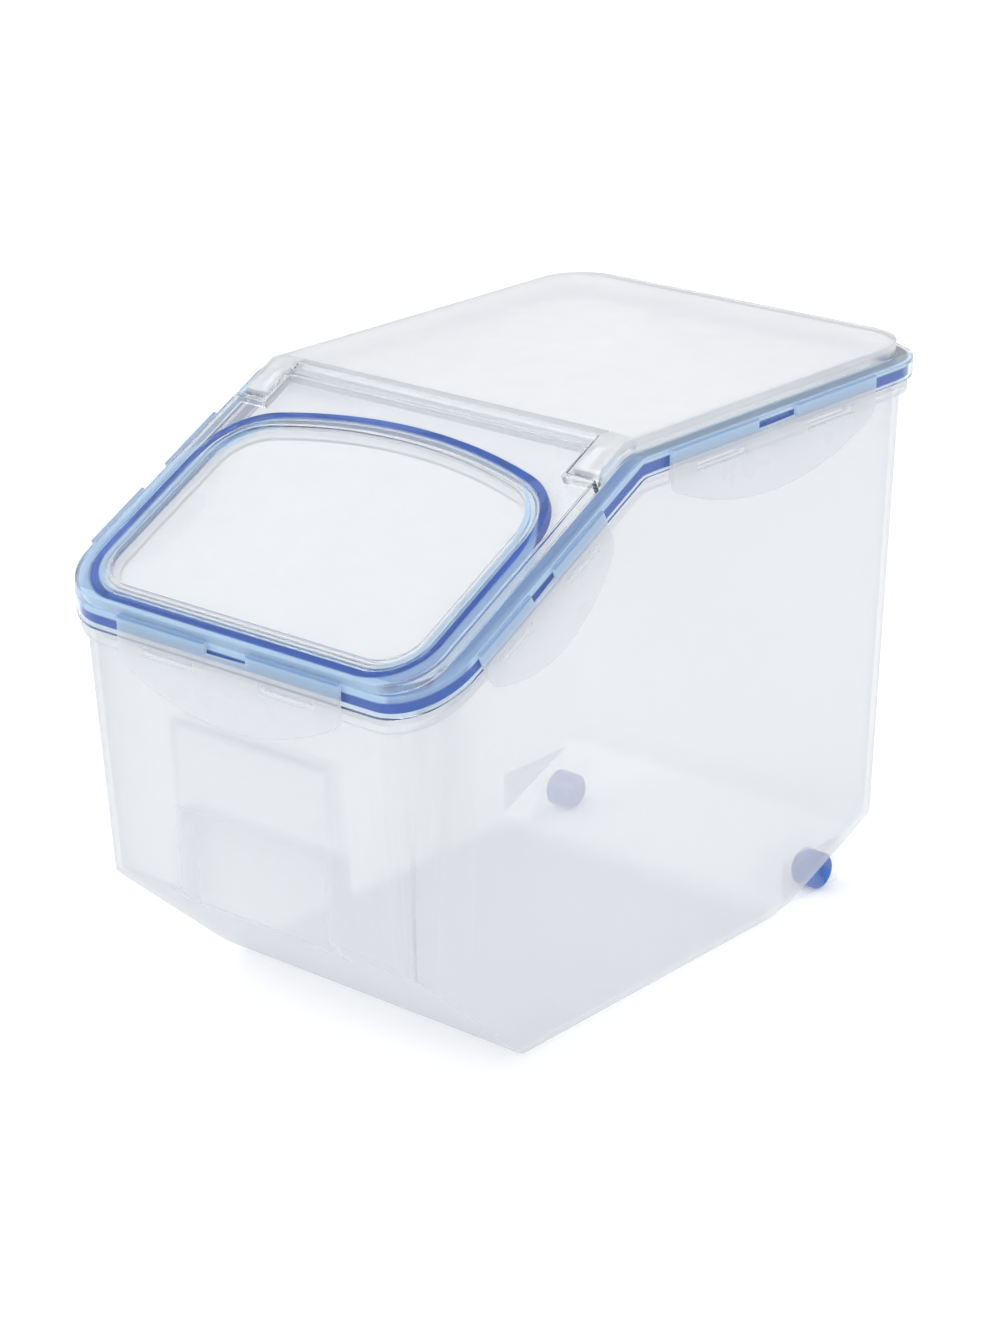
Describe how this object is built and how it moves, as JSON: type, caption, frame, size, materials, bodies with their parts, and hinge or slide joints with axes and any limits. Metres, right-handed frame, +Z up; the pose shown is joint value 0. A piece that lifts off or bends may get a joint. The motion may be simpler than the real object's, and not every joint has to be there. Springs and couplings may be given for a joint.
{
  "type": "rice bin with flip lid",
  "caption": "Frosted wheeled tub for dry rice with a latched bent lid, a hinged flip lid over a D-shaped scooping hole, blue seals and a front grip pocket",
  "frame": {"origin": "centre of the footprint box at the bottom, on the floor", "axes": "+Z up, the front with the sloping flip lid faces -Y, +X to the right seen from the front"},
  "size_m": [0.2556, 0.4136, 0.3105],
  "materials": {
    "frosted_tub": "frosted translucent polypropylene",
    "frosted_latch": "frosted translucent polypropylene, slightly clearer at the hinge",
    "clear_lid": "translucent glossy polypropylene, clearer than the tub",
    "blue_seal": "soft royal-blue silicone",
    "blue_wheel": "moulded blue plastic"
  },
  "bodies": {
    "tub_body": {"tub": "frosted_tub"},
    "lid_body": {"main_lid": "clear_lid", "main_gasket": "blue_seal"},
    "flip_body": {"flip_lid": "clear_lid", "flip_gasket": "blue_seal"},
    "latch_front_body": {"latch_front": "frosted_latch"},
    "latch_rear_body": {"latch_rear": "frosted_latch"},
    "latch_slope_right_body": {"latch_slope_right": "frosted_latch"},
    "latch_slope_left_body": {"latch_slope_left": "frosted_latch"},
    "latch_side_right_body": {"latch_side_right": "frosted_latch"},
    "latch_side_left_body": {"latch_side_left": "frosted_latch"},
    "wheel_right_body": {"wheel_right": "blue_wheel"},
    "wheel_left_body": {"wheel_left": "blue_wheel"}
  },
  "joints": [
    {"name": "main_lid_lift", "type": "slide", "parent": "tub_body", "child": "lid_body", "axis": [0, 0, 1], "range_m": [0, 0.12]},
    {"name": "flip_lid_hinge", "type": "hinge", "parent": "lid_body", "child": "flip_body", "pos_m": [0, -0.0486, 0.30683], "axis": [-1, 0, 0], "range_deg": [0, 125]},
    {"name": "latch_front_hinge", "type": "hinge", "parent": "flip_body", "child": "latch_front_body", "pos_m": [0, -0.2056, 0.2216], "axis": [-1, 0, 0], "range_deg": [0, 150]},
    {"name": "latch_rear_hinge", "type": "hinge", "parent": "lid_body", "child": "latch_rear_body", "pos_m": [0, 0.2056, 0.3024], "axis": [1, 0, 0], "range_deg": [0, 150]},
    {"name": "latch_slope_right_hinge", "type": "hinge", "parent": "lid_body", "child": "latch_slope_right_body", "pos_m": [0.1266, -0.12567, 0.26176], "axis": [0, -0.8839, -0.4676], "range_deg": [0, 150]},
    {"name": "latch_slope_left_hinge", "type": "hinge", "parent": "lid_body", "child": "latch_slope_left_body", "pos_m": [-0.1266, -0.12567, 0.26176], "axis": [0, 0.8839, 0.4676], "range_deg": [0, 150]},
    {"name": "latch_side_right_hinge", "type": "hinge", "parent": "lid_body", "child": "latch_side_right_body", "pos_m": [0.1266, 0.057, 0.3024], "axis": [0, -1, 0], "range_deg": [0, 150]},
    {"name": "latch_side_left_hinge", "type": "hinge", "parent": "lid_body", "child": "latch_side_left_body", "pos_m": [-0.1266, 0.057, 0.3024], "axis": [0, 1, 0], "range_deg": [0, 150]},
    {"name": "wheel_right_axle", "type": "hinge", "parent": "tub_body", "child": "wheel_right_body", "pos_m": [0.0875, 0.1583, 0.0103], "axis": [1, 0, 0], "continuous": true},
    {"name": "wheel_left_axle", "type": "hinge", "parent": "tub_body", "child": "wheel_left_body", "pos_m": [-0.0875, 0.1583, 0.0103], "axis": [1, 0, 0], "continuous": true}
  ]
}
